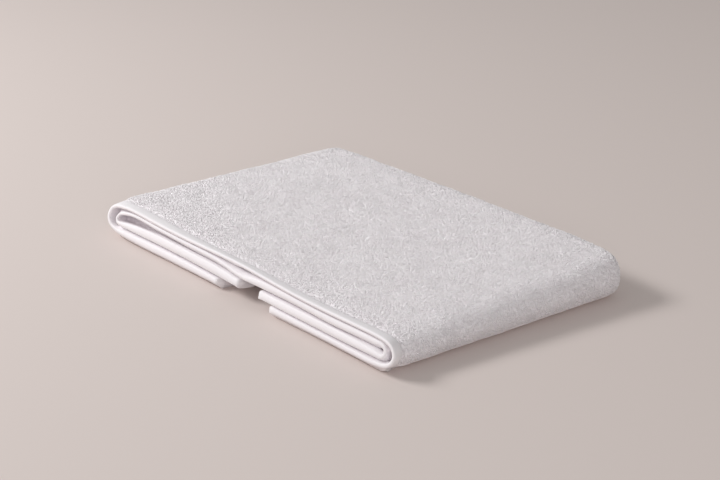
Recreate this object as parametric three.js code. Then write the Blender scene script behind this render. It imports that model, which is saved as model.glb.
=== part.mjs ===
// A white terry guest towel, 400 x 600 mm, folded flat in four plies, in millimetres, +Z up.
//
// The cloth is halved lengthwise, so that its long crease lies at the far side (+Y) and both long hems
// lie together at the near side (-Y). Then both ends are turned under until they almost meet below the
// middle. It is one sheet of cloth, so it is one solid: a mid-surface that runs along the cloth in
// stations and across it in levels, with half of the cloth's thickness on each side of it.
//
// The outer ply is the half that shows on top, round both ends and underneath. The inner ply is the
// other half, folded inside it. The origin is under the middle of the folded towel, on the table.

import * as THREE from "three";

// Driving sizes
const NEAR_EDGE = -101;
const FAR_CREASE = 101.5;
const HEM_WIDTH = 11.5;
const HEM_THICKNESS = 2.6;
const HEM_EDGE_ROUNDING = 0.8;
const PILE_RISE = 3.2;

// Shares of the hem's thickness that are left at its rounded edge and in the groove of its seam
const EDGE_SHARE = 0.6;
const SEAM_SHARE = 0.85;

// Shares of the towel's height that one ply and the air beside it take up
const PLY_SHARE = 0.218;
const GAP_SHARE = 0.016;

// How far the underside is pressed flat on the table
const PRESSED_FLAT = 0.15;

// The near edges: how wavy they are along the towel and from ply to ply, how much further out the lower
// plies reach, which shares of the height count as low and high, and how far in that is felt
const EDGE_WAVE = 0.5;
const WAVE_ALONG = 23;
const WAVE_UP = 5;
const LOWER_PLIES_OUT = 1.6;
const LOW_SHARE = 0.25;
const HIGH_SHARE = 0.8;
const EDGE_REACH = 46;

// The share of the height above which the dents in the top are felt, and how closely the pull on the
// long crease keeps to the far side
const DENTED_SHARE = 0.3;
const CREASE_PULL_POWER = 4;

// The round ends where the pile has its full thickness: how far out the middle of the outer ply comes, how
// far each ply bulges beyond its last flat place, and the air between the two
const OUTER_EXTREME = 155.6;
const OUTER_ROUND_REACH = 13;
const INNER_ROUND_REACH = 4.6;
const ROUND_GAP = 2.2;
const TIGHTEST_BEND = 0.15;

// How finely the sheet is cut up
const FLAT_SPACING = 17;
const ROUND_SPACING = 3;
const PILE_LEVELS = 10;
const CREASE_LEVELS = 5;

// The places along the cloth, from the free end of the left flap, over the top, to that of the right one.
// turn is the way the ply faces, -90 down and 90 up. The rest is where the middle of each ply's long hem
// lies at the near edge, and how thick the hem is there: pressed thin on top, puffed up below.
// turn, outer x, outer z, outer thickness, inner x, inner z, inner thickness
const PLACES = [
  [-90, -18, 5.2, 5.0, 5, 11.3, 5.4],
  [-90, -29.5, 5.3, 5.4, -6.5, 12.1, 6.2],
  [-90, -33, 5.3, 5.6, -10, 12.4, 6.6],
  [-90, -85, 5.4, 5.8, -70, 13.0, 7.0],
  [-90, -128, 5.3, 5.4, -122, 12.4, 5.8],
  [-90, -140.5, 5.4, 3.8, -137.5, 11.5, 3.2],
  [-45, -149.8, 8.0, 3.0, -141.6, 12.2, 2.6],
  [0, -153.4, 13.2, 3.0, -142.8, 14.2, 2.6],
  [45, -150.8, 19.2, 3.0, -141.4, 16.6, 2.6],
  [90, -141, 23.2, 3.0, -137.5, 18.9, 2.6],
  [90, -128, 24.9, 3.0, -125, 21.6, 2.6],
  [90, -95, 24.4, 3.0, -95, 20.9, 3.2],
  [90, -50, 24.1, 3.0, -50, 20.6, 3.4],
  [90, -13, 24.2, 3.0, -15, 19.7, 3.2],
  [90, 8, 24.2, 3.0, 7.5, 15.9, 3.0],
  [90, 18, 23.9, 3.0, 18, 17.4, 5.0],
  [90, 31, 23.4, 3.0, 31, 17.8, 6.2],
  [90, 60, 22.4, 2.8, 60, 18.0, 5.0],
  [90, 100, 22.1, 2.8, 100, 17.4, 5.4],
  [90, 130, 22.2, 2.8, 128, 18.0, 4.6],
  [90, 141, 22.1, 2.8, 141, 17.9, 4.2],
  [45, 156.2, 19.6, 2.8, 150.4, 17.2, 3.2],
  [0, 159.8, 14.2, 2.8, 151.9, 14.4, 2.8],
  [-45, 157.2, 8.8, 2.8, 150.2, 11.5, 3.2],
  [-90, 141, 5.2, 3.6, 141, 11.3, 4.4],
  [-90, 131, 5.0, 4.2, 127, 11.3, 5.8],
  [-90, 90, 4.9, 4.2, 84, 10.8, 6.2],
  [-90, 55, 5.0, 4.4, 42.5, 10.8, 5.8],
  [-90, 51.5, 5.1, 4.6, 39, 10.9, 5.6],
  [-90, 40, 5.2, 4.8, 27.5, 11.0, 5.6],
];

// How high the top of the pile stands over the table, along the towel, at its three depths
// x, near, middle, far
const HEIGHTS = [
  [-160, 26.4, 26.6, 27.6],
  [-100, 26.4, 26.4, 28.0],
  [-60, 24.4, 25.8, 28.2],
  [0, 22.8, 24.8, 28.4],
  [60, 21.4, 24.6, 28.8],
  [110, 21.2, 25.2, 29.4],
  [160, 22.0, 26.0, 29.8],
];

// How far the long crease is drawn in towards the middle, along the towel
// x, drawn in
const CREASE_LINE = [
  [-160, 7],
  [-140, 1.5],
  [-90, 0],
  [80, 0],
  [125, 2],
  [145, 7],
  [160, 14],
];

// The soft hollows and swells that the hand left in the top
// x, y, radius, depth
const DENTS = [
  [8, -72, 17, 1.0],
  [-14, -82, 13, 0.7],
  [14, -14, 22, 0.8],
  [54, 33, 26, 0.9],
  [84, 22, 24, 0.6],
  [-78, -74, 20, 0.6],
  [-30, 48, 30, -0.6],
  [-100, 20, 36, -0.5],
  [110, -45, 34, -0.7],
  [132, 62, 26, 0.7],
  [148, -66, 20, 1.5],
  [150, -20, 22, 1.6],
  [150, 28, 22, 1.3],
];

const WHITE_COTTON = new THREE.MeshStandardMaterial({
  color: 0xf1eeec,
  roughness: 0.95,
  metalness: 0,
});

const DEPTH = FAR_CREASE - NEAR_EDGE;
const SEAM = NEAR_EDGE + HEM_WIDTH;

// Turns a table into a smooth function of its first column, which gives the other columns.
function smoothTable(rows) {
  const positions = rows.map((row) => row[0]);
  const values = rows.flatMap((row) => row.slice(1));
  const columns = rows[0].length - 1;
  const curve = new THREE.CubicInterpolant(positions, values, columns, new Float64Array(columns));
  return (at) => Array.from(curve.evaluate(at));
}

const heightsAt = smoothTable(HEIGHTS);
const creaseAt = smoothTable(CREASE_LINE);

// The height of the pile's top at a place on the table.
function heightAt(x, y) {
  const [near, middle, far] = heightsAt(x);
  const t = (y - NEAR_EDGE) / DEPTH;
  return near * (1 - t) * (1 - 2 * t) + middle * 4 * t * (1 - t) + far * t * (2 * t - 1);
}

// How deep the top is dented at a place.
function dentAt(x, y) {
  return DENTS.reduce((sum, [dentX, dentY, radius, depth]) => {
    const distance = Math.hypot(x - dentX, y - dentY) / radius;
    return sum + depth * Math.exp(-distance * distance);
  }, 0);
}

// The distance along a line of [x, z] points, at each of them.
function lengthsAlong(line) {
  const lengths = [0];
  for (let i = 1; i < line.length; i++) {
    const [x, z] = line[i];
    const [xBefore, zBefore] = line[i - 1];
    lengths.push(lengths[i - 1] + Math.hypot(x - xBefore, z - zBefore));
  }
  return lengths;
}

// The stations along the cloth, closer together round the ends. Each lies some part of the way from one
// place to the next, and knows how far along the cloth it is.
function stationsAlong(places) {
  const lengths = lengthsAlong(places.map(([, outerX, outerZ]) => [outerX, outerZ]));
  const stations = [{ place: 0, part: 0, along: 0 }];
  for (let place = 0; place + 1 < places.length; place++) {
    const gap = lengths[place + 1] - lengths[place];
    const spacing = places[place][0] === places[place + 1][0] ? FLAT_SPACING : ROUND_SPACING;
    const steps = Math.max(1, Math.round(gap / spacing));
    for (let step = 1; step <= steps; step++) {
      const part = step / steps;
      stations.push({ place, part, along: lengths[place] + gap * part });
    }
  }
  return stations;
}

const stations = stationsAlong(PLACES);
const CLOTH_LENGTH = stations.at(-1).along;

// The middle of a ply at a station where the pile has its full thickness. Flat stretches go from place to
// place, and each round end is half an ellipse.
function pilePoint({ place, part }, outer, y) {
  const [turn, outerX, , , innerX] = PLACES[place];
  const [nextTurn, nextOuterX, , , nextInnerX] = PLACES[place + 1];
  const ownX = THREE.MathUtils.lerp(outer ? outerX : innerX, outer ? nextOuterX : nextInnerX, part);
  const otherX = THREE.MathUtils.lerp(outer ? innerX : outerX, outer ? nextInnerX : nextOuterX, part);
  const across = (y - NEAR_EDGE) / DEPTH;
  const flatX = THREE.MathUtils.lerp(ownX, (ownX + otherX) / 2, across);
  const innerExtreme = OUTER_EXTREME - PLY_SHARE * heightAt(ownX, y) - ROUND_GAP;
  const [extreme, reach] = outer ? [OUTER_EXTREME, OUTER_ROUND_REACH] : [innerExtreme, INNER_ROUND_REACH];
  const angle = THREE.MathUtils.degToRad(THREE.MathUtils.lerp(turn, nextTurn, part));
  const roundX = Math.sign(ownX) * (extreme - reach * (1 - Math.cos(angle)));
  const x = turn === nextTurn ? flatX : roundX;
  const pliesBelow = outer ? PLY_SHARE / 2 : 1.5 * PLY_SHARE + GAP_SHARE;
  const share = 0.5 + (0.5 - pliesBelow) * Math.sin(angle);
  return [x, share * heightAt(x, y) - PRESSED_FLAT];
}

// The middle of a ply's long hem and its thickness, right at the near edge, at all stations.
function hemLine(outer) {
  const line = PLACES.map((place) => (outer ? place.slice(1, 4) : place.slice(4, 7)));
  const lengths = lengthsAlong(line);
  const lineAt = smoothTable(line.map((hem, i) => [lengths[i], ...hem]));
  return stations.map(({ place, part }) =>
    lineAt(THREE.MathUtils.lerp(lengths[place], lengths[place + 1], part)),
  );
}

const outerHem = hemLine(true);
const innerHem = hemLine(false);

// The middle of a ply along all stations, at one depth. From the edge to the seam it goes from the hem's
// own line over to that of the pile.
function plyLine(outer, y) {
  const hem = outer ? outerHem : innerHem;
  const toPile = THREE.MathUtils.smoothstep(y, NEAR_EDGE, SEAM);
  return stations.map((station, i) => {
    const [hemX, hemZ] = hem[i];
    const [pileX, pileZ] = pilePoint(station, outer, y);
    const x = THREE.MathUtils.lerp(hemX, pileX, toPile);
    return new THREE.Vector3(x, y, THREE.MathUtils.lerp(hemZ, pileZ, toPile));
  });
}

// The way each station of a line faces, away from the inside of the towel.
function facing(line) {
  return line.map((_, i) => {
    const before = line[Math.max(i - 1, 0)];
    const after = line[Math.min(i + 1, line.length - 1)];
    return new THREE.Vector3(before.z - after.z, 0, after.x - before.x).normalize();
  });
}

// Half the thickness of a ply at a station: firm in the hems, pinched at the seam, full in the pile.
function halfThickness(station, outer, x, y) {
  const { along } = stations[station];
  const [, , edgeThickness] = (outer ? outerHem : innerHem)[station];
  const toSeam = THREE.MathUtils.smoothstep(y, NEAR_EDGE, SEAM);
  const hemThickness = THREE.MathUtils.lerp(edgeThickness, HEM_THICKNESS, toSeam);
  const fromEnd = Math.min(along, CLOTH_LENGTH - along);
  const fromSeam = Math.min(y - SEAM, fromEnd - HEM_WIDTH);
  const pile = THREE.MathUtils.smoothstep(fromSeam, 0, PILE_RISE);
  const atSeam = Math.abs(fromSeam) < HEM_EDGE_ROUNDING / 2;
  const atEdge = y < NEAR_EDGE + HEM_EDGE_ROUNDING / 2;
  const hem = hemThickness * (atSeam ? SEAM_SHARE : 1) * (atEdge ? EDGE_SHARE : 1);
  return THREE.MathUtils.lerp(hem, PLY_SHARE * heightAt(x, y), pile) / 2;
}

// The depths at which a ply is measured out, from the hem's edge to where the crease begins.
function depthsAcross() {
  const hem = [NEAR_EDGE, NEAR_EDGE + HEM_EDGE_ROUNDING, (NEAR_EDGE + SEAM) / 2, SEAM, SEAM + PILE_RISE / 2];
  const creaseStart = FAR_CREASE - PLY_SHARE * heightAt(0, FAR_CREASE);
  const pile = Array.from({ length: PILE_LEVELS }, (_, level) =>
    THREE.MathUtils.lerp(SEAM + PILE_RISE, creaseStart, level / (PILE_LEVELS - 1)),
  );
  return [...hem, ...pile];
}

// The near edges aren't quite in line, and the plies below reach a little further out.
function edgeShift(point, y) {
  const atEdge = 1 - THREE.MathUtils.smoothstep(y, NEAR_EDGE, NEAR_EDGE + EDGE_REACH);
  const low = 1 - THREE.MathUtils.smoothstep(point.z / heightAt(point.x, y), LOW_SHARE, HIGH_SHARE);
  const wave = EDGE_WAVE * Math.sin(point.x / WAVE_ALONG + point.z / WAVE_UP);
  return -atEdge * (wave + LOWER_PLIES_OUT * low);
}

// Moves a point of the finished shape by what the whole towel does: the crease drawn in, the top dented.
function settle(point, y) {
  const across = (y - NEAR_EDGE) / DEPTH;
  const [drawnIn] = creaseAt(point.x);
  const onTop = THREE.MathUtils.smoothstep(point.z / heightAt(point.x, y), DENTED_SHARE, 1);
  const pileBegins = THREE.MathUtils.smoothstep(y, SEAM, SEAM + HEM_WIDTH);
  point.y += edgeShift(point, y) - drawnIn * across ** CREASE_PULL_POWER;
  point.z -= dentAt(point.x, y) * onTop * pileBegins;
  point.z = Math.max(point.z, 0);
  return point;
}

// One level of the sheet: the two sides of the cloth at all stations, for a ply at one depth.
function plyLevel(outer, y) {
  const line = plyLine(outer, y);
  const normals = facing(line);
  const side = outer ? 1 : -1;
  const sideAt = (sign) =>
    line.map((middle, i) => {
      const half = halfThickness(i, outer, middle.x, y);
      return settle(middle.clone().addScaledVector(normals[i], sign * side * half), y);
    });
  return { front: sideAt(1), back: sideAt(-1) };
}

// The levels round the long crease, where the outer ply turns over into the inner one.
function creaseLevels(y) {
  const outerLine = plyLine(true, y);
  const innerLine = plyLine(false, y);
  return Array.from({ length: CREASE_LEVELS }, (_, level) => {
    const angle = (Math.PI * (level + 1)) / (CREASE_LEVELS + 1);
    const sideAt = (sign) =>
      outerLine.map((outerMiddle, i) => {
        const middle = outerMiddle.clone().add(innerLine[i]).multiplyScalar(0.5);
        const towardsOuter = outerMiddle.clone().sub(innerLine[i]).normalize();
        const bend = outerMiddle.distanceTo(innerLine[i]) / 2;
        const half = halfThickness(i, true, middle.x, y);
        const radius = Math.max(bend + sign * half, TIGHTEST_BEND);
        const outwards = towardsOuter.multiplyScalar(Math.cos(angle));
        outwards.y = Math.sin(angle);
        return settle(middle.addScaledVector(outwards, radius), y);
      });
    return { front: sideAt(1), back: sideAt(-1) };
  });
}

// Joins the levels into one closed surface: both sides of the cloth and the narrow faces round its rim.
function sheetGeometry(levels) {
  const across = levels.length;
  const along = stations.length;
  const points = [...levels.flatMap((level) => level.front), ...levels.flatMap((level) => level.back)];
  const front = (level, station) => level * along + station;
  const back = (level, station) => across * along + front(level, station);
  const triangles = [];
  const quad = (a, b, c, d) => triangles.push(a, b, c, a, c, d);
  for (let k = 0; k + 1 < across; k++) {
    for (let i = 0; i + 1 < along; i++) {
      quad(front(k, i), front(k, i + 1), front(k + 1, i + 1), front(k + 1, i));
      quad(back(k, i), back(k + 1, i), back(k + 1, i + 1), back(k, i + 1));
    }
    quad(front(k, 0), front(k + 1, 0), back(k + 1, 0), back(k, 0));
    quad(back(k, along - 1), back(k + 1, along - 1), front(k + 1, along - 1), front(k, along - 1));
  }
  for (let i = 0; i + 1 < along; i++) {
    quad(back(0, i), back(0, i + 1), front(0, i + 1), front(0, i));
    quad(front(across - 1, i), front(across - 1, i + 1), back(across - 1, i + 1), back(across - 1, i));
  }
  const geometry = new THREE.BufferGeometry().setFromPoints(points);
  geometry.setIndex(triangles);
  return geometry;
}

function makeTowel() {
  const depths = depthsAcross();
  const outerPly = depths.map((y) => plyLevel(true, y));
  const innerPly = depths.map((y) => plyLevel(false, y)).reverse();
  const geometry = sheetGeometry([...outerPly, ...creaseLevels(depths.at(-1)), ...innerPly]);
  geometry.computeBoundingBox();
  const middle = geometry.boundingBox.getCenter(new THREE.Vector3());
  geometry.translate(-middle.x, -middle.y, -geometry.boundingBox.min.z);
  geometry.computeVertexNormals();
  const towel = new THREE.Mesh(geometry, WHITE_COTTON);
  towel.name = "towel";
  return towel;
}

const group = new THREE.Group();
group.add(makeTowel());

export default group;
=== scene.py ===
# %% [markdown]
# # A folded terry guest towel
#
# The towel is one white cotton cloth of 400 x 600 mm. It is halved lengthwise, then both of its ends are
# turned under. This file dresses the plain solid of that towel: it folds a fine sheet of cloth onto the
# same paths, grows looped pile on it, sews the hems and gives the cotton its finish.

# %% Load the frame
import math

import bmesh
import bpy
import numpy as np
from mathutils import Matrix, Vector, noise
from mathutils.bvhtree import BVHTree


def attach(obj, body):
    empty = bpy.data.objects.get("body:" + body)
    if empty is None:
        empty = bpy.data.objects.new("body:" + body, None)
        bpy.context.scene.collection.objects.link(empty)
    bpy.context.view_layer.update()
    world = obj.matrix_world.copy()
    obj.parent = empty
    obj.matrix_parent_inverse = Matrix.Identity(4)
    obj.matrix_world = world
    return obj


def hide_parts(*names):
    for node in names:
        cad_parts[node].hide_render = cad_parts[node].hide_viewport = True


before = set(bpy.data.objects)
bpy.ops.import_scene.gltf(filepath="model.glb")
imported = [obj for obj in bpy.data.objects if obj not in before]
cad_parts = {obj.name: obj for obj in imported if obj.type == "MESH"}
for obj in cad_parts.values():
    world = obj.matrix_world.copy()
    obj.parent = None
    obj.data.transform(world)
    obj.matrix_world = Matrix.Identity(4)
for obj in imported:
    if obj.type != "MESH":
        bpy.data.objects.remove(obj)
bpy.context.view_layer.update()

# %% [markdown]
# ## The camera
#
# A product photograph is often taken with a long lens, which keeps the far side of the thing nearly as
# large as the near one. The camera could be placed by eye, but here it was fitted to the towel's outline:
# it looks at one spot of the table, from an azimuth, an elevation and a distance. Blender's camera looks
# along its own -Z, so a rotation is made from the direction in which it should look.

# %% Place the camera
CAMERA_AZIMUTH = math.radians(51.451)
CAMERA_ELEVATION = math.radians(20.537)
CAMERA_DISTANCE = 1.2556
CAMERA_TARGET = Vector((-0.0340, 0.0280, 0.0))
CAMERA_LENS = 90
SENSOR_WIDTH = 36


def direction(azimuth, elevation):
    """The way from a target to what stands at that azimuth and elevation; azimuth 0 is in front, at -Y."""
    flat = math.cos(elevation)
    return Vector((math.sin(azimuth) * flat, -math.cos(azimuth) * flat, math.sin(elevation)))


def look_at(thing, place, target):
    """Puts a camera or light at a place and turns it to a target."""
    thing.location = place
    thing.rotation_euler = (target - place).to_track_quat("-Z", "Y").to_euler()


camera = bpy.data.objects.new("camera", bpy.data.cameras.new("camera"))
bpy.context.scene.collection.objects.link(camera)
camera.data.lens = CAMERA_LENS
camera.data.sensor_width = SENSOR_WIDTH
look_at(camera, CAMERA_TARGET + CAMERA_DISTANCE * direction(CAMERA_AZIMUTH, CAMERA_ELEVATION), CAMERA_TARGET)
bpy.context.scene.camera = camera
print("camera at", [round(c, 3) for c in camera.location])

# %% [markdown]
# ## The fold in figures
#
# The sheet is folded by given sizes and not by a simulation, because the photograph shows just where
# each hem runs. A row of PLACES is one place along the cloth, from the free end of the left flap, over the
# top, to that of the right one. The outer ply is the half that shows on top, and the inner ply is folded
# inside it. All of this is in millimetres, as one would measure it, and is scaled to metres once.

# %% The towel's sizes
NEAR_EDGE = -101
FAR_CREASE = 101.5
HEM_WIDTH = 11.5
HEM_THICKNESS = 2.6
HEM_EDGE_ROUNDING = 0.8
PILE_RISE = 3.2
EDGE_SHARE = 0.6
SEAM_SHARE = 0.85
PLY_SHARE = 0.218
GAP_SHARE = 0.016
PRESSED_FLAT = 0.15
EDGE_WAVE = 0.5
WAVE_ALONG = 23
WAVE_UP = 5
LOWER_PLIES_OUT = 1.6
LOW_SHARE = 0.25
HIGH_SHARE = 0.8
EDGE_REACH = 46
DENTED_SHARE = 0.3
CREASE_PULL_POWER = 4
OUTER_EXTREME = 155.6
OUTER_ROUND_REACH = 13
INNER_ROUND_REACH = 4.6
ROUND_GAP = 2.2
TIGHTEST_BEND = 0.15
FLAT_SPACING = 17
ROUND_SPACING = 3
PILE_LEVELS = 10
CREASE_LEVELS = 5
DEPTH = FAR_CREASE - NEAR_EDGE
SEAM = NEAR_EDGE + HEM_WIDTH

# turn, outer x, outer z, outer thickness, inner x, inner z, inner thickness
PLACES = np.array([
    [-90, -18, 5.2, 5.0, 5, 11.3, 5.4],
    [-90, -29.5, 5.3, 5.4, -6.5, 12.1, 6.2],
    [-90, -33, 5.3, 5.6, -10, 12.4, 6.6],
    [-90, -85, 5.4, 5.8, -70, 13.0, 7.0],
    [-90, -128, 5.3, 5.4, -122, 12.4, 5.8],
    [-90, -140.5, 5.4, 3.8, -137.5, 11.5, 3.2],
    [-45, -149.8, 8.0, 3.0, -141.6, 12.2, 2.6],
    [0, -153.4, 13.2, 3.0, -142.8, 14.2, 2.6],
    [45, -150.8, 19.2, 3.0, -141.4, 16.6, 2.6],
    [90, -141, 23.2, 3.0, -137.5, 18.9, 2.6],
    [90, -128, 24.9, 3.0, -125, 21.6, 2.6],
    [90, -95, 24.4, 3.0, -95, 20.9, 3.2],
    [90, -50, 24.1, 3.0, -50, 20.6, 3.4],
    [90, -13, 24.2, 3.0, -15, 19.7, 3.2],
    [90, 8, 24.2, 3.0, 7.5, 15.9, 3.0],
    [90, 18, 23.9, 3.0, 18, 17.4, 5.0],
    [90, 31, 23.4, 3.0, 31, 17.8, 6.2],
    [90, 60, 22.4, 2.8, 60, 18.0, 5.0],
    [90, 100, 22.1, 2.8, 100, 17.4, 5.4],
    [90, 130, 22.2, 2.8, 128, 18.0, 4.6],
    [90, 141, 22.1, 2.8, 141, 17.9, 4.2],
    [45, 156.2, 19.6, 2.8, 150.4, 17.2, 3.2],
    [0, 159.8, 14.2, 2.8, 151.9, 14.4, 2.8],
    [-45, 157.2, 8.8, 2.8, 150.2, 11.5, 3.2],
    [-90, 141, 5.2, 3.6, 141, 11.3, 4.4],
    [-90, 131, 5.0, 4.2, 127, 11.3, 5.8],
    [-90, 90, 4.9, 4.2, 84, 10.8, 6.2],
    [-90, 55, 5.0, 4.4, 42.5, 10.8, 5.8],
    [-90, 51.5, 5.1, 4.6, 39, 10.9, 5.6],
    [-90, 40, 5.2, 4.8, 27.5, 11.0, 5.6],
])

# x, height of the pile's top near, in the middle, far
HEIGHTS = [
    [-160, 26.4, 26.6, 27.6],
    [-100, 26.4, 26.4, 28.0],
    [-60, 24.4, 25.8, 28.2],
    [0, 22.8, 24.8, 28.4],
    [60, 21.4, 24.6, 28.8],
    [110, 21.2, 25.2, 29.4],
    [160, 22.0, 26.0, 29.8],
]

# x, how far the long crease is drawn in
CREASE_LINE = [
    [-160, 7],
    [-140, 1.5],
    [-90, 0],
    [80, 0],
    [125, 2],
    [145, 7],
    [160, 14],
]

# x, y, radius, depth of the soft hollows and swells in the top
DENTS = [
    [8, -72, 17, 1.0],
    [-14, -82, 13, 0.7],
    [14, -14, 22, 0.8],
    [54, 33, 26, 0.9],
    [84, 22, 24, 0.6],
    [-78, -74, 20, 0.6],
    [-30, 48, 30, -0.6],
    [-100, 20, 36, -0.5],
    [110, -45, 34, -0.7],
    [132, 62, 26, 0.7],
    [148, -66, 20, 1.5],
    [150, -20, 22, 1.6],
    [150, 28, 22, 1.3],
]
print("places along the cloth", len(PLACES), "and dents", len(DENTS))

# %% [markdown]
# ## Smooth curves through the figures
#
# A few measured places are enough if a smooth curve runs through them. This one is a cubic curve whose
# slope at each row is the mean of the slopes on both sides of it, so that it follows the figures without
# swinging past them much.

# %% Smooth tables and steps


def smooth_table(rows):
    """A smooth curve through a table: a function of its first column that gives the others."""
    rows = np.array(rows, float)
    marks, values = rows[:, 0], rows[:, 1:]
    chords = np.diff(values, axis=0) / np.diff(marks)[:, None]
    slopes = np.vstack([chords[:1], (chords[1:] + chords[:-1]) / 2, chords[-1:]])

    def curve(at):
        at = np.clip(np.asarray(at, float), marks[0], marks[-1])
        i = np.clip(np.searchsorted(marks, at, side="right") - 1, 0, len(marks) - 2)
        gap = (marks[i + 1] - marks[i])[..., None]
        p = (at - marks[i])[..., None] / gap
        start = values[i] * (2 * p**3 - 3 * p**2 + 1) + slopes[i] * gap * (p**3 - 2 * p**2 + p)
        return start + values[i + 1] * (3 * p**2 - 2 * p**3) + slopes[i + 1] * gap * (p**3 - p**2)

    return curve


def smoothstep(x, low, high):
    t = np.clip((x - low) / (high - low), 0, 1)
    return t * t * (3 - 2 * t)


def lerp(a, b, t):
    return a + (b - a) * t


heights_at = smooth_table(HEIGHTS)
crease_at = smooth_table(CREASE_LINE)


def height_at(x, y):
    """How high the top of the pile stands over the table, in millimetres."""
    near, middle, far = np.moveaxis(heights_at(x), -1, 0)
    t = (y - NEAR_EDGE) / DEPTH
    return near * (1 - t) * (1 - 2 * t) + middle * 4 * t * (1 - t) + far * t * (2 * t - 1)


def dent_at(x, y):
    """How deep the top is dented at a place."""
    spots = (depth * np.exp(-((x - dx) ** 2 + (y - dy) ** 2) / radius**2) for dx, dy, radius, depth in DENTS)
    return sum(spots)


print("the pile is", round(float(height_at(0, 0)), 1), "mm high in the middle")

# %% [markdown]
# ## The paths of the two plies
#
# A folded cloth can be modelled as a mid-surface with a thickness. Stations run along the cloth, closer
# together round the ends, and at each depth the outer and the inner ply have a line of their own. Right at
# the near edge a ply follows its hem, and from the seam on it follows the full pile.

# %% Stations along the cloth


def lengths_along(line):
    """The distance along a line of points, at each of them."""
    return np.concatenate([[0], np.cumsum(np.hypot(*np.diff(line, axis=0).T))])


def stations_along(places):
    """Each station's place, how far it is on the way to the next place, and where it is on the cloth."""
    lengths = lengths_along(places[:, 1:3])
    stations = [(0, 0.0, 0.0)]
    for place in range(len(places) - 1):
        gap = lengths[place + 1] - lengths[place]
        spacing = FLAT_SPACING if places[place, 0] == places[place + 1, 0] else ROUND_SPACING
        steps = max(1, int(gap / spacing + 0.5))
        for step in range(1, steps + 1):
            stations.append((place, step / steps, lengths[place] + gap * step / steps))
    place, part, along = np.array(stations).T
    return place.astype(int), part, along


station_place, station_part, station_along = stations_along(PLACES)
CLOTH_LENGTH = station_along[-1]
print("stations", len(station_along), "over", round(CLOTH_LENGTH), "mm of cloth")

# %% The middle of a ply


def pile_line(outer, y):
    """The middle of a ply at all stations, where the pile has its full thickness: x and z."""
    before, after = PLACES[station_place], PLACES[station_place + 1]
    own, other = (1, 4) if outer else (4, 1)
    own_x = lerp(before[:, own], after[:, own], station_part)
    other_x = lerp(before[:, other], after[:, other], station_part)
    flat_x = lerp(own_x, (own_x + other_x) / 2, (y - NEAR_EDGE) / DEPTH)
    inner_extreme = OUTER_EXTREME - PLY_SHARE * height_at(own_x, y) - ROUND_GAP
    extreme, reach = (OUTER_EXTREME, OUTER_ROUND_REACH) if outer else (inner_extreme, INNER_ROUND_REACH)
    angle = np.radians(lerp(before[:, 0], after[:, 0], station_part))
    round_x = np.sign(own_x) * (extreme - reach * (1 - np.cos(angle)))
    x = np.where(before[:, 0] == after[:, 0], flat_x, round_x)
    plies_below = PLY_SHARE / 2 if outer else 1.5 * PLY_SHARE + GAP_SHARE
    share = 0.5 + (0.5 - plies_below) * np.sin(angle)
    return x, share * height_at(x, y) - PRESSED_FLAT


def hem_line(outer):
    """The middle of a ply's long hem at the near edge, at all stations: x, z, thickness."""
    line = PLACES[:, 1:4] if outer else PLACES[:, 4:7]
    lengths = lengths_along(line[:, :2])
    at = lerp(lengths[station_place], lengths[station_place + 1], station_part)
    return smooth_table(np.column_stack([lengths, line]))(at).T


HEM_LINES = {outer: hem_line(outer) for outer in (True, False)}


def ply_line(outer, y):
    """The middle of a ply along all stations, at one depth, as points."""
    to_pile = smoothstep(y, NEAR_EDGE, SEAM)
    x, z = (lerp(hem, pile, to_pile) for hem, pile in zip(HEM_LINES[outer], pile_line(outer, y)))
    return np.column_stack([x, np.full_like(x, y), z])


def facing(line):
    """The way each station of a line faces, away from the inside of the towel."""
    padded = np.vstack([line[:1], line, line[-1:]])
    step = padded[2:] - padded[:-2]
    turned = np.column_stack([-step[:, 2], np.zeros(len(line)), step[:, 0]])
    return turned / np.linalg.norm(turned, axis=1)[:, None]


def half_thickness(outer, x, y):
    """Half a ply's thickness at all stations: firm hems, a pinched seam, full pile."""
    hem_thickness = lerp(HEM_LINES[outer][2], HEM_THICKNESS, smoothstep(y, NEAR_EDGE, SEAM))
    from_end = np.minimum(station_along, CLOTH_LENGTH - station_along)
    from_seam = np.minimum(y - SEAM, from_end - HEM_WIDTH)
    pile = smoothstep(from_seam, 0, PILE_RISE)
    at_seam = np.where(abs(from_seam) < HEM_EDGE_ROUNDING / 2, SEAM_SHARE, 1)
    at_edge = EDGE_SHARE if y < NEAR_EDGE + HEM_EDGE_ROUNDING / 2 else 1
    return lerp(hem_thickness * at_seam * at_edge, PLY_SHARE * height_at(x, y), pile) / 2


print("the middle of the outer ply reaches x", round(float(ply_line(True, 0)[:, 0].max()), 1), "mm")

# %% The levels across the cloth


def depths_across():
    """The depths at which a ply is measured out, from the hem's edge to where the crease begins."""
    hem = [NEAR_EDGE, NEAR_EDGE + HEM_EDGE_ROUNDING, (NEAR_EDGE + SEAM) / 2, SEAM, SEAM + PILE_RISE / 2]
    crease_start = FAR_CREASE - PLY_SHARE * float(height_at(0, FAR_CREASE))
    return [*hem, *np.linspace(SEAM + PILE_RISE, crease_start, PILE_LEVELS)]


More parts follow.
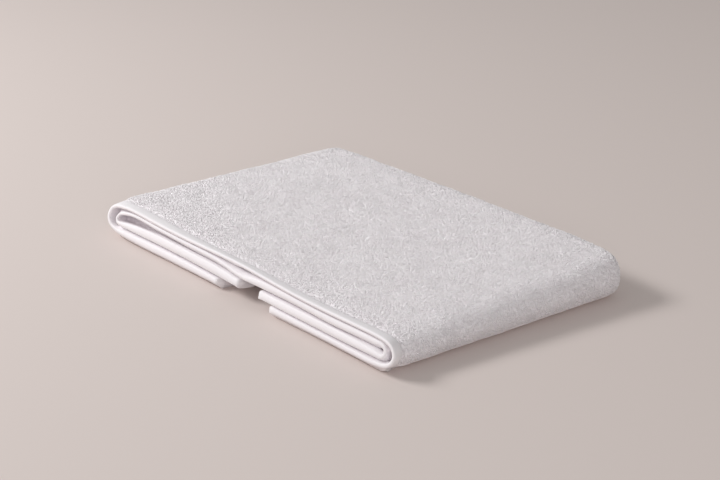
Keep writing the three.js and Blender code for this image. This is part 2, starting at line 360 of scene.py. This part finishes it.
def settle(points, y):
    """Moves points by what the whole towel does: wavy near edges, the crease drawn in, the top dented."""
    x, z = points[:, 0], points[:, 2]
    share = z / height_at(x, y)
    at_edge = 1 - smoothstep(y, NEAR_EDGE, NEAR_EDGE + EDGE_REACH)
    low = 1 - smoothstep(share, LOW_SHARE, HIGH_SHARE)
    wave = EDGE_WAVE * np.sin(x / WAVE_ALONG + z / WAVE_UP)
    drawn_in = crease_at(x)[:, 0] * ((y - NEAR_EDGE) / DEPTH) ** CREASE_PULL_POWER
    new_y = points[:, 1] - at_edge * (wave + LOWER_PLIES_OUT * low) - drawn_in
    on_top = smoothstep(share, DENTED_SHARE, 1) * smoothstep(y, SEAM, SEAM + HEM_WIDTH)
    return np.column_stack([x, new_y, np.maximum(z - dent_at(x, new_y) * on_top, 0)])


def ply_level(outer, y):
    """Both sides of the cloth at all stations, for a ply at one depth: front, back."""
    line = ply_line(outer, y)
    out = facing(line) * half_thickness(outer, line[:, 0], y)[:, None] * (1 if outer else -1)
    return settle(line + out, y), settle(line - out, y)


def crease_level(y, level):
    """Both sides of the cloth at one level round the long crease."""
    outer_line, inner_line = ply_line(True, y), ply_line(False, y)
    middle = (outer_line + inner_line) / 2
    across = outer_line - inner_line
    bend = np.linalg.norm(across, axis=1)
    angle = math.pi * (level + 1) / (CREASE_LEVELS + 1)
    outwards = across / bend[:, None] * math.cos(angle)
    outwards[:, 1] = math.sin(angle)
    half = half_thickness(True, middle[:, 0], y)
    radii = [np.maximum(bend / 2 + sign * half, TIGHTEST_BEND) for sign in (1, -1)]
    return [settle(middle + outwards * radius[:, None], y) for radius in radii]


depths = depths_across()
levels = [ply_level(True, y) for y in depths]
levels += [crease_level(depths[-1], level) for level in range(CREASE_LEVELS)]
levels += [ply_level(False, y) for y in reversed(depths)]
nets = np.array(levels).transpose(1, 0, 2, 3)
middle = (nets.min(axis=(0, 1, 2)) + nets.max(axis=(0, 1, 2))) / 2
middle[2] = nets[..., 2].min()
nets -= middle
FRONT, BACK = nets
LOW_CORNER, HIGH_CORNER = nets.min(axis=(0, 1, 2)), nets.max(axis=(0, 1, 2))
print("levels across", len(levels), "box in mm", np.round(LOW_CORNER, 1), np.round(HIGH_CORNER, 1))

# %% [markdown]
# ## A smooth surface over the net
#
# The net of stations and levels is as coarse as the solid. A Subdivision Surface modifier could smooth it,
# but the looped pile needs to know where any spot of the cloth lies and which way it faces. So the same
# kind of surface, a cubic B-spline, is worked out directly: each spot is a weighted mean of the sixteen net
# points around it.

# %% Spots on the cloth
MM = 0.001


def padded(net):
    """The net with one more row all round, so that the surface runs out to its rim."""
    net = np.concatenate([2 * net[:1] - net[1:2], net, 2 * net[-1:] - net[-2:-1]])
    return np.concatenate([2 * net[:, :1] - net[:, 1:2], net, 2 * net[:, -1:] - net[:, -2:-1]], axis=1)


PADDED = {"front": padded(FRONT), "back": padded(BACK)}


def spline_weights(t):
    """How much each of four neighbours in a row counts, at a share t of the way between the middle two."""
    return np.stack([(1 - t) ** 3, 3 * t**3 - 6 * t**2 + 4, 3 * (t + t**2 - t**3) + 1, t**3]) / 6


def on_net(side, level, station):
    """Where the cloth's front or back lies, at fractional levels and stations."""
    net = PADDED[side]
    i = np.clip(np.floor(level).astype(int), 0, net.shape[0] - 4)
    j = np.clip(np.floor(station).astype(int), 0, net.shape[1] - 4)
    level_weights, station_weights = spline_weights(level - i), spline_weights(station - j)
    spots = 0
    for m in range(4):
        for n in range(4):
            spots = spots + (level_weights[m] * station_weights[n])[..., None] * net[i + m, j + n]
    return spots


MIDDLE_NET = (FRONT + BACK) / 2
TOP_STATION = len(station_along) // 2
LEVEL_ACROSS = np.concatenate(
    [[0], np.cumsum(np.linalg.norm(np.diff(MIDDLE_NET[:, TOP_STATION], axis=0), axis=1))]
)
CLOTH_WIDTH = LEVEL_ACROSS[-1]


def level_of(across):
    return np.interp(across, LEVEL_ACROSS, np.arange(len(LEVEL_ACROSS)))


def station_of(along):
    return np.interp(along, station_along, np.arange(len(station_along)))


print("the cloth is", round(CLOTH_WIDTH), "mm wide as modelled, and", round(CLOTH_LENGTH), "mm long")

# %% [markdown]
# ## Where the loops grow
#
# Terry is a ground weave with a pile of loops on both faces. Modelling every loop would take millions of
# faces, so they are modelled where they show: on the top, round the ends and over the long crease. There
# the body of the cloth is drawn in to leave them room. On the table side and inside the folds the body
# keeps the pile's full height, and its material gives the loops.

# %% Pile height and soft unevenness
LOOP_ROOM = 1.15
LOOPS_START = HEM_WIDTH + 0.9
LOOPS_END = LEVEL_ACROSS[len(depths) + CREASE_LEVELS // 2 + 1]
LOWEST_FACING = -0.75
SWELL_HEIGHT = 0.35
SWELL_SIZE = 19
CLUMP_HEIGHT = 0.22
CLUMP_SIZE = 6.5
NOISE_SHIFT = (17.3, 5.1, 9.7)
FACING_STEP = 0.2
FACING_FADE = 0.15
INSIDE_FADE = 1.5
TINY = 1e-9


def noise_at(points, size, seed):
    """Smooth noise from about -1 to 1 at points in millimetres; size is how broad its swells are."""
    shift = Vector([seed * part for part in NOISE_SHIFT])
    values = [noise.noise(Vector(p) / size + shift) for p in points.reshape(-1, 3)]
    return np.array(values).reshape(points.shape[:-1])


def facing_at(level, station):
    """The way the cloth's front faces, and the way along it, at fractional levels and stations."""
    across = on_net("front", level + FACING_STEP, station) - on_net("front", level - FACING_STEP, station)
    along = on_net("front", level, station + FACING_STEP) - on_net("front", level, station - FACING_STEP)
    normal = np.cross(along, across)
    length = np.linalg.norm(normal, axis=-1, keepdims=True)
    return normal / np.maximum(length, TINY), along


def swell_at(points, from_rim):
    """How far the pile swells out at points on the cloth, growing from nothing at the seam."""
    in_pile = smoothstep(from_rim, HEM_WIDTH, HEM_WIDTH + 2 * PILE_RISE)
    swells = SWELL_HEIGHT * noise_at(points, SWELL_SIZE, 1)
    clumps = CLUMP_HEIGHT * noise_at(points, CLUMP_SIZE, 2)
    return in_pile * (swells + clumps)


def loop_cover(across, normal_z, along):
    """How fully the loops cover a spot, from 0 to 1."""
    past_seam = smoothstep(across, HEM_WIDTH, LOOPS_START)
    before_inside = 1 - smoothstep(across, LOOPS_END, LOOPS_END + INSIDE_FADE)
    from_end = np.minimum(along, CLOTH_LENGTH - along)
    shows = smoothstep(normal_z, LOWEST_FACING - FACING_FADE, LOWEST_FACING)
    return past_seam * before_inside * shows * smoothstep(from_end, HEM_WIDTH, HEM_WIDTH + PILE_RISE)


print("loops grow from", round(LOOPS_START, 1), "to", round(float(LOOPS_END), 1), "mm across the cloth")

# %% [markdown]
# ## The cloth
#
# A sheet starts best as a flat grid, because the grid then gives the cloth its own coordinates for the
# weave. The grid is extruded once, which makes a closed slab with a front, a back and a narrow rim, and
# every point is then moved to its place in the fold. Those places are worked out first, for both faces.

# %% Both faces of the fine cloth
FINE_SPACING = 3.0
FEWEST_STEPS = 2
RIM_RADIUS = 0.9
RIM_LEFT = 0.7
SEAM_GROOVE = 0.9
SEAM_GROOVE_WIDTH = 0.9


def refined(marks):
    """Fractional positions between marks, so that neighbours are no more than about a fine spacing apart."""
    positions = [0.0]
    for i, gap in enumerate(np.diff(marks)):
        steps = max(FEWEST_STEPS, int(gap / FINE_SPACING + 0.5))
        positions += [i + step / steps for step in range(1, steps + 1)]
    return np.array(positions)


def at_marks(positions, marks):
    return np.interp(positions, np.arange(len(marks)), marks)


def cloth_faces(fine_levels, fine_stations):
    """The front and back of the finished cloth, in millimetres, with where each spot is on the cloth."""
    level, station = np.meshgrid(fine_levels, fine_stations, indexing="ij")
    across, along = at_marks(level, LEVEL_ACROSS), at_marks(station, station_along)
    front, back = on_net("front", level, station), on_net("back", level, station)
    middle, half = (front + back) / 2, (front - back) / 2
    from_rim = np.minimum(across, CLOTH_WIDTH - across)
    from_rim = np.minimum(from_rim, np.minimum(along, CLOTH_LENGTH - along))
    t = np.clip(from_rim / RIM_RADIUS, 0, 1)
    rounding = lerp(RIM_LEFT / EDGE_SHARE, 1, np.sqrt(1 - (1 - t) ** 2))
    groove = SEAM_GROOVE * np.exp(-(((from_rim - HEM_WIDTH) / SEAM_GROOVE_WIDTH) ** 2))
    thickness = 2 * np.linalg.norm(half, axis=-1)
    half = half * (rounding * (1 - groove / np.maximum(thickness, 1)))[..., None]
    normal, _ = facing_at(level, station)
    cover = loop_cover(across, normal[..., 2], along)
    front = middle + half + normal * (swell_at(middle, from_rim) - LOOP_ROOM * cover)[..., None]
    back = middle - half
    for side in (front, back):
        side[..., 2] = np.maximum(side[..., 2], 0)
    return front, back, across, along


fine_levels, fine_stations = refined(LEVEL_ACROSS), refined(station_along)
front, back, across, along = cloth_faces(fine_levels, fine_stations)
print("fine levels", len(fine_levels), "fine stations", len(fine_stations))

# %% [markdown]
# ## Hems that rest on each other
#
# Folded plies rest on each other, so behind their edges the hems are puffed out onto the next ply or the
# table. Where they lie close, that leaves a groove in place of a deep slot. A ray from each spot finds what
# is close. Two plies that face each other go nearly half of the way each, and a flat underside goes most of
# the way down to the table.

# %% Puff the hems out
PUFF_BEGINS = (0.8, 2.6)
PUFF_DEPTH = 16
PUFF_REACH = (3.0, 4.6)
MEET_SHARE = 0.47
TABLE_SHARE = 0.9
FLAT_DOWN = -0.97
RAY_START = 0.02


def settled(front, back, across):
    """Both faces again, with the hems puffed out onto what lies close to them: the next ply or the table."""
    grid = np.arange(across.size).reshape(across.shape)
    quads = np.stack([grid[:-1, :-1], grid[:-1, 1:], grid[1:, 1:], grid[1:, :-1]], axis=-1).reshape(-1, 4)
    points = np.concatenate([front.reshape(-1, 3), back.reshape(-1, 3)])
    cloth_tree = BVHTree.FromPolygons(points.tolist(), np.concatenate([quads, quads + across.size]).tolist())
    from_edge = np.minimum(across, CLOTH_WIDTH - across)
    puffed = smoothstep(from_edge, *PUFF_BEGINS) * (from_edge < PUFF_DEPTH)
    out = (front - back) / np.linalg.norm(front - back, axis=-1, keepdims=True)
    moved = []
    for side, way in ((front, 1), (back, -1)):
        side = side.copy()
        for spot in map(tuple, np.argwhere(puffed > 0)):
            ray = Vector(out[spot] * way)
            gap = cloth_tree.ray_cast(Vector(side[spot]) + ray * RAY_START, ray, PUFF_REACH[1])[3]
            share = MEET_SHARE
            if gap is None and ray.z < FLAT_DOWN and side[spot][2] < PUFF_REACH[1]:
                gap, share = side[spot][2], TABLE_SHARE
            if gap is not None:
                close = 1 - smoothstep(gap, *PUFF_REACH)
                side[spot] += np.array(ray) * (gap * share * close * puffed[spot])
        moved.append(side)
    return moved


front, back = settled(front, back, across)
print("hems puffed out over", PUFF_DEPTH, "mm from each long edge")

# %% [markdown]
# ## The slab
#
# Now the grid is made and extruded, and each of its points is moved. Its rows and columns are the levels and
# stations, so every corner knows its own place on the flat cloth, and that becomes the UV map.

# %% Fold a fine slab of cloth


def fold_slab(name):
    """A closed slab of cloth, folded, with the cloth's own coordinates in metres as its UV map."""
    bm = bmesh.new()
    segments = (len(fine_stations) - 1, len(fine_levels) - 1)
    bmesh.ops.create_grid(bm, x_segments=segments[0], y_segments=segments[1], size=1)
    sheet_count = len(bm.verts)
    bmesh.ops.extrude_face_region(bm, geom=bm.faces[:])
    bm.verts.index_update()
    places = {}
    for vert in bm.verts:
        station = round((vert.co.x + 1) / 2 * segments[0])
        level = round((vert.co.y + 1) / 2 * segments[1])
        places[vert.index] = (level, station)
    for vert in bm.verts:
        side = back if vert.index < sheet_count else front
        vert.co = side[places[vert.index]] * MM
    uv = bm.loops.layers.uv.new("cloth")
    for face in bm.faces:
        face.smooth = True
        for corner in face.loops:
            place = places[corner.vert.index]
            corner[uv].uv = (along[place] * MM, across[place] * MM)
    if bm.calc_volume(signed=True) < 0:
        bmesh.ops.reverse_faces(bm, faces=bm.faces[:])
    mesh = bpy.data.meshes.new(name)
    bm.to_mesh(mesh)
    bm.free()
    piece = bpy.data.objects.new(name, mesh)
    bpy.context.scene.collection.objects.link(piece)
    return piece


cloth = fold_slab("terry_cloth")
print(cloth.name, "has", len(cloth.data.polygons), "faces")

# %% [markdown]
# ## The looped pile
#
# Each loop is a short bent tube of yarn that leaves the ground, arches over and goes back in. Nearly thirty
# thousand of them could be instances on points, but joined meshes can be made from arrays in a few sums. The
# first step is where they stand. Their rows are spaced by lengths measured on the surface itself, because
# the net's levels are unevenly spaced.

# %% Where each loop stands
LOOP_PITCH = 1.56
LOOP_JITTER = 0.28
MEASURING_STEP = 0.1
random_numbers = np.random.default_rng(5)


def measured(line):
    """How far along a line of points each of them lies."""
    return np.concatenate([[0], np.cumsum(np.linalg.norm(np.diff(line, axis=0), axis=1))])


def loop_sites():
    """Where loops grow on the front, evenly spaced on its bends too, and each a little off its place."""
    some_levels = np.arange(0, len(levels) - 1, MEASURING_STEP)
    some_stations = np.arange(0, len(station_along) - 1, MEASURING_STEP)
    level_marks = measured(on_net("front", some_levels, np.full_like(some_levels, TOP_STATION)))
    station_marks = measured(on_net("front", np.full_like(some_stations, len(depths) // 2), some_stations))
    row_ends = np.interp(level_of([LOOPS_START, LOOPS_END]), some_levels, level_marks)
    end_room = HEM_WIDTH + PILE_RISE
    rows = np.arange(*row_ends, LOOP_PITCH)
    columns = np.arange(end_room, station_marks[-1] - end_room, LOOP_PITCH)
    across, along = np.meshgrid(rows, columns, indexing="ij")
    along = along + (np.arange(len(rows)) % 2)[:, None] * LOOP_PITCH / 2
    across = (across + random_numbers.normal(0, LOOP_JITTER, across.shape)).ravel()
    along = (along + random_numbers.normal(0, LOOP_JITTER, along.shape)).ravel()
    level = np.interp(across, level_marks, some_levels)
    station = np.interp(along, station_marks, some_stations)
    normal, _ = facing_at(level, station)
    shows = (normal[:, 2] > LOWEST_FACING) & (across > row_ends[0] - LOOP_JITTER)
    return level[shows], station[shows]


level, station = loop_sites()
print("loops stand at", len(level), "places")

# %% [markdown]
# ## The shape of a loop
#
# Each loop has its own directions, along its arch, sideways and up, with a twist and a lean of its own.
# Neighbours also lean together in small clumps, which gives terry its soft mottling. The yarn is a few rings
# of points along the arch, and one sum places the same ring of all loops.

# %% Shape the loops
LOOP_HEIGHT = (1.1, 1.55)
LOOP_SPREAD = (0.9, 1.3)
YARN_RADIUS = (0.3, 0.4)
CURL_SPREAD = 0.3
LOOP_DEPTH = 0.5
LOOP_RINGS = 5
YARN_SIDES = 3
LEAN_SPREAD = math.radians(24)
CLUMP_LEAN = math.radians(50)
LEAN_CLUMP_SIZE = 7.0
TABLE_CLEARANCE = 0.02


def between(low_high, count):
    return random_numbers.uniform(*low_high, count)


def loop_frames(level, station):
    """Each loop's root on the cloth, and its own directions: along the arch, sideways and up."""
    normal, tangent = facing_at(level, station)
    root = on_net("front", level, station)
    swell = swell_at(root, at_marks(level, LEVEL_ACROSS))
    root = root + normal * (swell - LOOP_ROOM)[:, None]
    tangent = tangent / np.linalg.norm(tangent, axis=1, keepdims=True)
    sideways = np.cross(normal, tangent)
    yaw = random_numbers.uniform(-math.pi, math.pi, len(level))[:, None]
    arch = tangent * np.cos(yaw) + sideways * np.sin(yaw)
    push_x = noise_at(root, LEAN_CLUMP_SIZE, 3)[:, None] * CLUMP_LEAN * 2
    push_y = noise_at(root, LEAN_CLUMP_SIZE, 4)[:, None] * CLUMP_LEAN * 2
    push = tangent * (push_x + random_numbers.normal(0, LEAN_SPREAD, push_x.shape))
    push = push + sideways * (push_y + random_numbers.normal(0, LEAN_SPREAD, push_x.shape))
    up = normal + push
    up = up / np.linalg.norm(up, axis=1, keepdims=True)
    side = np.cross(up, arch)
    side = side / np.linalg.norm(side, axis=1, keepdims=True)
    return root, np.cross(side, up), side, up


def loop_points(root, arch, side, up):
    """The points of all loops' yarn, for each loop ring by ring."""
    count = len(root)
    height, spread = between(LOOP_HEIGHT, count), between(LOOP_SPREAD, count)
    radius, curl = between(YARN_RADIUS, count), random_numbers.normal(0, CURL_SPREAD, count)
    rings = []
    for turn in np.linspace(0, math.pi, LOOP_RINGS):
        outwards = arch * math.cos(turn) + up * math.sin(turn)
        reach = arch * (spread / 2 * math.cos(turn))[:, None]
        reach = reach + up * (height * math.sin(turn) - LOOP_DEPTH)[:, None]
        centre = root + reach + side * (curl * math.cos(turn))[:, None]
        for corner in range(YARN_SIDES):
            round_yarn = 2 * math.pi * corner / YARN_SIDES
            edge = outwards * math.cos(round_yarn) + side * math.sin(round_yarn)
            rings.append(centre + edge * radius[:, None])
    return np.stack(rings, axis=1)


points = loop_points(*loop_frames(level, station))
points[..., 2] = np.maximum(points[..., 2], TABLE_CLEARANCE)
print("each loop has", points.shape[1], "points")

# %% [markdown]
# ## Many tubes in one mesh
#
# All loops have the same triangles, only with other points. So the triangles of one tube are listed once,
# and each further tube repeats them with its points' numbers. The sign of the first tube's volume tells
# whether they face outwards. The same two functions make the stitches below.

# %% Join the loops
LOOP_PIECES = 6


def tube_faces(points, rings, sides):
    """The triangles of one closed tube, its sides and a fan at each end, facing outwards."""
    faces = []
    for ring in range(rings - 1):
        for side in range(sides):
            a, b = ring * sides + side, ring * sides + (side + 1) % sides
            faces += [(a, b, b + sides), (a, b + sides, a + sides)]
    last = (rings - 1) * sides
    for corner in range(1, sides - 1):
        faces += [(0, corner + 1, corner), (last, last + corner, last + corner + 1)]
    faces = np.array(faces)
    first = points[0] - points[0, 0]
    a, b, c = (first[faces[:, k]] for k in range(3))
    volume = np.einsum("ij,ij->i", a, np.cross(b, c)).sum()
    return faces if volume > 0 else faces[:, ::-1]


def joined(name, points, faces):
    """One mesh of many like shapes: points is shape by point by coordinate, in millimetres."""
    shapes, size = points.shape[:2]
    all_faces = (faces[None] + (np.arange(shapes) * size)[:, None, None]).reshape(-1, faces.shape[1])
    mesh = bpy.data.meshes.new(name)
    mesh.from_pydata((points.reshape(-1, 3) * MM).tolist(), [], all_faces.tolist())
    mesh.shade_smooth()
    piece = bpy.data.objects.new(name, mesh)
    bpy.context.scene.collection.objects.link(piece)
    return piece


faces = tube_faces(points, LOOP_RINGS, YARN_SIDES)
parts = np.array_split(np.argsort(station, kind="stable"), LOOP_PIECES)
pile = [joined(f"loops_{i + 1}", points[part], faces) for i, part in enumerate(parts)]
print(len(points), "loops in", len(pile), "pieces,", len(faces), "triangles a loop")

# %% [markdown]
# ## The hems' stitches
#
# The hem is turned over and sewn down just short of the pile. A stitch is so small that a bent capsule of
# thread is enough, half sunk in the cloth and repeated along the seam.

# %% Sew the long hems
STITCH_PITCH = 3.0
STITCH_LENGTH = 2.3
THREAD_RADIUS = 0.2
STITCH_RISE = 0.02
STITCH_FROM_SEAM = 1.3
STITCH_RINGS = 5
STITCH_SIDES = 5
BLUNT_END = 1.05


def seam_stitches(name, across):
    """A row of stitches along the cloth's front, at a distance across it."""
    stations = station_of(np.arange(HEM_WIDTH, CLOTH_LENGTH - HEM_WIDTH, STITCH_PITCH))
    level = level_of(np.full_like(stations, across))
    normal, tangent = facing_at(level, stations)
    tangent = tangent / np.linalg.norm(tangent, axis=1, keepdims=True)
    sideways = np.cross(normal, tangent)
    root = on_net("front", level, stations)
    rings = []
    for share in np.linspace(-1, 1, STITCH_RINGS):
        thickness = THREAD_RADIUS * math.sqrt(BLUNT_END - share * share)
        rise = STITCH_RISE * (1 - 2 * share * share)
        centre = root + tangent * (share * STITCH_LENGTH / 2) + normal * rise
        for corner in range(STITCH_SIDES):
            turn = 2 * math.pi * corner / STITCH_SIDES
            rings.append(centre + (normal * math.cos(turn) + sideways * math.sin(turn)) * thickness)
    points = np.stack(rings, axis=1)
    return joined(name, points, tube_faces(points, STITCH_RINGS, STITCH_SIDES))


stitches = [
    seam_stitches("outer_hem_stitches", HEM_WIDTH - STITCH_FROM_SEAM),
    seam_stitches("inner_hem_stitches", CLOTH_WIDTH - HEM_WIDTH + STITCH_FROM_SEAM),
]
print("stitches", [len(row.data.polygons) for row in stitches])

# %% [markdown]
# ## The cotton
#
# White cotton isn't one flat white. Its yarns scatter light under their surface, and its colour varies a
# little from spot to spot. The hem is the same cotton as the pile, but its colour is set darker as painted
# shade: its smooth weave faces the key light and isn't shaded by loops, so it would come out too bright.
# Sums and products of sockets are written as plain expressions here: a small class adds the Math nodes,
# and one method makes any other node.

# %% Sockets in expressions


class Shade:
    """A socket that can stand in sums and products."""

    def __init__(self, finish, socket):
        self.finish, self.socket = finish, socket

    def combine(self, operation, a, b):
        return self.finish.node("ShaderNodeMath", {"operation": operation}, {0: a, 1: b})

    def __add__(self, other):
        return self.combine("ADD", self, other)

    __radd__ = __add__

    def __mul__(self, other):
        return self.combine("MULTIPLY", self, other)

    __rmul__ = __mul__

    def __sub__(self, other):
        return self.combine("SUBTRACT", self, other)

    def __rsub__(self, other):
        return self.combine("SUBTRACT", other, self)


class Finish:
    """A material, and the one method that makes its nodes."""

    def __init__(self, name):
        self.material = bpy.data.materials.new(name)
        self.material.use_nodes = True
        self.tree = self.material.node_tree
        self.principled = next(n for n in self.tree.nodes if n.type == "BSDF_PRINCIPLED")

    def node(self, kind, settings=None, inputs=None, output=0):
        """A node with its settings made first, then the values or links of its sockets."""
        made = self.tree.nodes.new(kind)
        for setting, value in (settings or {}).items():
            setattr(made, setting, value)
        for socket, value in (inputs or {}).items():
            self.set(made.inputs[socket], value)
        return Shade(self, made.outputs[output])

    def set(self, socket, value):
        if isinstance(value, Shade):
            self.tree.links.new(value.socket, socket)
        else:
            socket.default_value = value

    def mix(self, share, a, b):
        """A colour between two, by a share."""
        return self.node("ShaderNodeMix", {"data_type": "RGBA"}, {0: share, 6: a, 7: b}, 2)


print("shader helpers ready")

# %% The finishes
PILE_LIGHT = (0.95, 0.91, 0.93, 1)
PILE_DEEP = (0.91, 0.87, 0.89, 1)
# The hem's two colours are darker than the pile's as painted shade on the same cotton, because the hem is lit
# more strongly than the loops. The sewing thread takes them too.
SHADED_HEM_LIGHT = (0.86, 0.83, 0.85, 1)
SHADED_HEM_DEEP = (0.83, 0.80, 0.82, 1)
COTTON_ROUGHNESS = 0.95
HEM_ROUGHNESS = 0.85
SCATTER_SHARE = 0.6
SCATTER_DEPTH = 0.0012
MOTTLE_SCALE = 55
MOTTLE_SHARE = 0.7
FIBRE_SCALE = 2600
FIBRE_SHARE = 0.3
CELL_SCALE = 480.0
FIBRES_ON_CELLS = 0.3
FIBRES_ON_WEAVE = 0.4
WEAVE_PITCH = 0.0007
# strength and distance of each bump
YARN_BUMP = (0.5, 0.0002)
PILE_BUMP = (0.6, 0.0008)
HEM_BUMP = (0.35, 0.00012)
THREAD_BUMP = (0.3, 0.0001)


def cotton(name, light, deep, roughness):
    """A cotton with a soft mottling of its colour, and what its bump needs: finish, coordinates, fibres."""
    finish = Finish(name)
    places = finish.node("ShaderNodeTexCoord", output="Object")
    mottle = finish.node("ShaderNodeTexNoise", None, {"Vector": places, "Scale": MOTTLE_SCALE, "Detail": 3.0})
    fibres = finish.node("ShaderNodeTexNoise", None, {"Vector": places, "Scale": FIBRE_SCALE, "Detail": 2.0})
    share = mottle * MOTTLE_SHARE + fibres * FIBRE_SHARE
    finish.set(finish.principled.inputs["Base Color"], finish.mix(share, deep, light))
    finish.set(finish.principled.inputs["Roughness"], roughness)
    finish.set(finish.principled.inputs["Subsurface Weight"], SCATTER_SHARE)
    finish.set(finish.principled.inputs["Subsurface Radius"], (1, 1, 1))
    finish.set(finish.principled.inputs["Subsurface Scale"], SCATTER_DEPTH)
    return finish, places, fibres


def add_bump(finish, height, strength, distance):
    bump = finish.node("ShaderNodeBump", None, {"Height": height, "Strength": strength, "Distance": distance})
    finish.set(finish.principled.inputs["Normal"], bump)


def yarn_finish():
    """The loops: soft yarn with fine fibres."""
    finish, _, fibres = cotton("cotton_yarn", PILE_LIGHT, PILE_DEEP, COTTON_ROUGHNESS)
    add_bump(finish, fibres, *YARN_BUMP)
    return finish.material


def pile_finish():
    """The cloth's body where no loop is modelled: the same yarn, its loops as small round cells."""
    finish, places, fibres = cotton("cotton_pile", PILE_LIGHT, PILE_DEEP, COTTON_ROUGHNESS)
    cells = finish.node("ShaderNodeTexVoronoi", None, {"Vector": places, "Scale": CELL_SCALE})
    add_bump(finish, (1 - cells) + fibres * FIBRES_ON_CELLS, *PILE_BUMP)
    return finish.material


def hem_finish():
    """The woven hem: crossing threads that follow the cloth's own coordinates."""
    finish, _, fibres = cotton("cotton_hem", SHADED_HEM_LIGHT, SHADED_HEM_DEEP, HEM_ROUGHNESS)
    threads = finish.node("ShaderNodeUVMap", {"uv_map": "cloth"})
    split = finish.node("ShaderNodeSeparateXYZ", None, {"Vector": threads}).socket.node
    turns = 2 * math.pi / WEAVE_PITCH
    ways = [Shade(finish, split.outputs[axis]) * turns for axis in ("X", "Y")]
    waves = [finish.node("ShaderNodeMath", {"operation": "SINE"}, {0: way}) for way in ways]
    add_bump(finish, waves[0] * waves[1] * 0.5 + fibres * FIBRES_ON_WEAVE, *HEM_BUMP)
    return finish.material


def thread_finish():
    """The sewing thread: the hem's cotton with a finer bump."""
    finish, _, fibres = cotton("sewing_thread", SHADED_HEM_LIGHT, SHADED_HEM_DEEP, HEM_ROUGHNESS)
    add_bump(finish, fibres, *THREAD_BUMP)
    return finish.material


cloth.data.materials.append(pile_finish())
cloth.data.materials.append(hem_finish())
for polygon in cloth.data.polygons:
    corners = [cloth.data.uv_layers["cloth"].data[k].uv / MM for k in polygon.loop_indices]
    u, v = (sum(corner[k] for corner in corners) / len(corners) for k in range(2))
    from_rim = min(u, CLOTH_LENGTH - u, v, CLOTH_WIDTH - v)
    polygon.material_index = 1 if from_rim < HEM_WIDTH else 0
yarn = yarn_finish()
for piece in pile:
    piece.data.materials.append(yarn)
thread = thread_finish()
for row in stitches:
    row.data.materials.append(thread)
print("finishes", [material.name for material in bpy.data.materials if material.users])

# %% [markdown]
# ## What the pieces belong to
#
# The cloth stands for the solid towel. The loops and stitches are sewn or woven into it, so they ride with
# it, and they are named as its pieces.

for piece in [cloth, *pile, *stitches]:
    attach(piece, "root")
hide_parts("towel")
print("declared", cloth.name, "as a folded sheet")

# %% [markdown]
# ## The floor and the light
#
# The towel lies on warm paper in a soft studio light. A broad key light stands at the left, a weak one next
# to the camera reaches into the folds, and the room fills the shadows. White cloth passes light on many
# times, so more diffuse bounces are allowed than usual. A plain large plane is enough for the paper.

# %% Floor
FLOOR_SIZE = 8.0
FLOOR_COLOUR = (0.66, 0.585, 0.555, 1)
FLOOR_ROUGHNESS = 0.9

bm = bmesh.new()
bmesh.ops.create_grid(bm, x_segments=1, y_segments=1, size=FLOOR_SIZE / 2)
floor_mesh = bpy.data.meshes.new("floor")
bm.to_mesh(floor_mesh)
bm.free()
floor = bpy.data.objects.new("floor", floor_mesh)
bpy.context.scene.collection.objects.link(floor)
paper = Finish("paper")
paper.set(paper.principled.inputs["Base Color"], FLOOR_COLOUR)
paper.set(paper.principled.inputs["Roughness"], FLOOR_ROUGHNESS)
floor.data.materials.append(paper.material)
print("floor", FLOOR_SIZE, "m wide")

# %% Lights
LIGHTS = [
    # name, azimuth from the camera's, elevation, distance, width, height, watts
    ("key", -100, 37, 1.8, 0.9, 0.45, 21.5),
    ("fill", 4, 19, 2.0, 0.9, 0.6, 8),
]
ROOM_LIGHT = 0.44
ROOM_COLOUR = (1.0, 0.985, 0.975, 1)
DIFFUSE_BOUNCES = 12

for name, azimuth, elevation, distance, width, height, watts in LIGHTS:
    light = bpy.data.lights.new(name, "AREA")
    light.shape = "RECTANGLE"
    light.size, light.size_y, light.energy = width, height, watts
    lamp = bpy.data.objects.new(name, light)
    bpy.context.scene.collection.objects.link(lamp)
    way = direction(CAMERA_AZIMUTH + math.radians(azimuth), math.radians(elevation))
    look_at(lamp, distance * way, Vector((0, 0, 0)))
    print(name, "at", [round(c, 2) for c in lamp.location])

world = bpy.data.worlds.new("room")
world.use_nodes = True
room = next(n for n in world.node_tree.nodes if n.type == "BACKGROUND")
room.inputs["Color"].default_value = ROOM_COLOUR
room.inputs["Strength"].default_value = ROOM_LIGHT
bpy.context.scene.world = world
bpy.context.scene.view_settings.view_transform = "Standard"
bpy.context.scene.cycles.diffuse_bounces = DIFFUSE_BOUNCES
